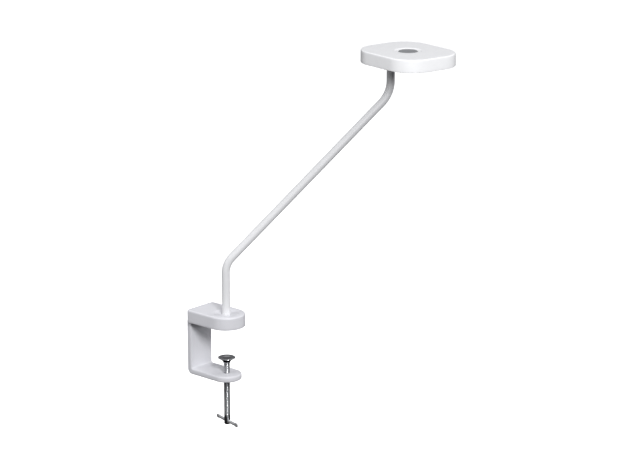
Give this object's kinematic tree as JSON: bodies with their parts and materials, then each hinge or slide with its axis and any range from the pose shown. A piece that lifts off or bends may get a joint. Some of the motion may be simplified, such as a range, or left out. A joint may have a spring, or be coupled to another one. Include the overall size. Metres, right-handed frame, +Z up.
{
  "type": "swing arm desk lamp",
  "caption": "Clamp-on desk lamp with a bent tube arm that swivels in a table clamp and a flat swivelling LED head with a dimmer button on top.",
  "frame": {"origin": "point of the table seat, the underside of the clamp's rubber jaw pad, on the arm's lower swivel axis", "axes": "+Z up along the lower swivel axis, +X from the clamp's spine out over the table"},
  "size_m": [0.3447, 0.2994, 0.6135],
  "materials": {
    "cast_white": "white powder coat on die-cast aluminium",
    "tube_white": "white powder coat on steel tube",
    "light_plastic": "fine matte",
    "button_grey": "satin",
    "bush_plastic": "matte",
    "opal_plastic": "opal",
    "pad_rubber": "matte",
    "black_rubber": "matte",
    "chromed_steel": "bright",
    "zinc_steel": "zinc plated",
    "brass": "machined",
    "bare_aluminium": "milled",
    "board": "solder mask",
    "phosphor": "matte"
  },
  "bodies": {
    "clamp": {"c_bracket": "cast_white", "clamp_cover": "cast_white", "clamp_base": "light_plastic", "jaw_pad": "pad_rubber", "cover_screws": "zinc_steel", "lower_bush": "bush_plastic", "cover_bush": "light_plastic", "arm_washer": "zinc_steel", "arm_stop_pin": "zinc_steel", "threaded_insert": "brass", "cord_grommet": "black_rubber", "terminal_block": "light_plastic", "base_lead": "black_rubber"},
    "arm": {"arm_tube": "tube_white", "lower_plug": "black_rubber", "upper_plug": "black_rubber", "arm_collar": "zinc_steel", "head_collar": "zinc_steel", "collar_screws": "zinc_steel", "arm_lead": "black_rubber"},
    "head": {"head_cover": "cast_white", "hub_cap": "bush_plastic", "hub_cap_screws": "zinc_steel", "hub_bush": "bush_plastic", "cap_bush": "bush_plastic", "head_washer": "zinc_steel", "head_stop_pin": "zinc_steel", "head_bezel": "light_plastic", "bezel_screws": "zinc_steel", "diffuser": "opal_plastic", "reflector": "opal_plastic", "led_board": "board", "led_chips": "phosphor", "heat_spreader": "bare_aluminium", "spreader_screws": "zinc_steel", "dimmer_board": "board", "board_screws": "zinc_steel", "tact_switch": "bush_plastic", "head_lead": "black_rubber"},
    "button": {"dimmer_button": "button_grey", "switch_plunger": "bush_plastic"},
    "pad": {"pressure_disc": "chromed_steel"},
    "screw": {"clamp_screw": "chromed_steel"},
    "bar": {"tommy_bar": "chromed_steel"}
  },
  "joints": [
    {"name": "arm_swivel", "type": "hinge", "parent": "clamp", "child": "arm", "pos_m": [0, 0, 0.012], "axis": [0, 0, 1], "range_deg": [-212, 107]},
    {"name": "head_swivel", "type": "hinge", "parent": "arm", "child": "head", "pos_m": [0.16254, 0.21183, 0.436], "axis": [0, 0, 1], "range_deg": [-96, 223]},
    {"name": "dimmer_press", "type": "slide", "parent": "head", "child": "button", "axis": [0, 0, -1], "range_m": [0, 0.0008], "stiffness_N_per_m": 2500},
    {"name": "pad_lift", "type": "slide", "parent": "clamp", "child": "pad", "axis": [0, 0, 1], "range_m": [-0.017, 0.0525]},
    {"name": "screw_turn", "type": "hinge", "parent": "pad", "child": "screw", "pos_m": [0, 0, -0.1], "axis": [0, 0, 1], "range_deg": [-4081, 12601]},
    {"name": "tommy_bar_slide", "type": "slide", "parent": "screw", "child": "bar", "axis": [0.9703, -0.2419, 0], "range_m": [-0.0175, 0.0175]}
  ],
  "couplings": [
    {"joint": "screw_turn", "follows": "pad_lift", "rad_per_m": 4188.8}
  ]
}
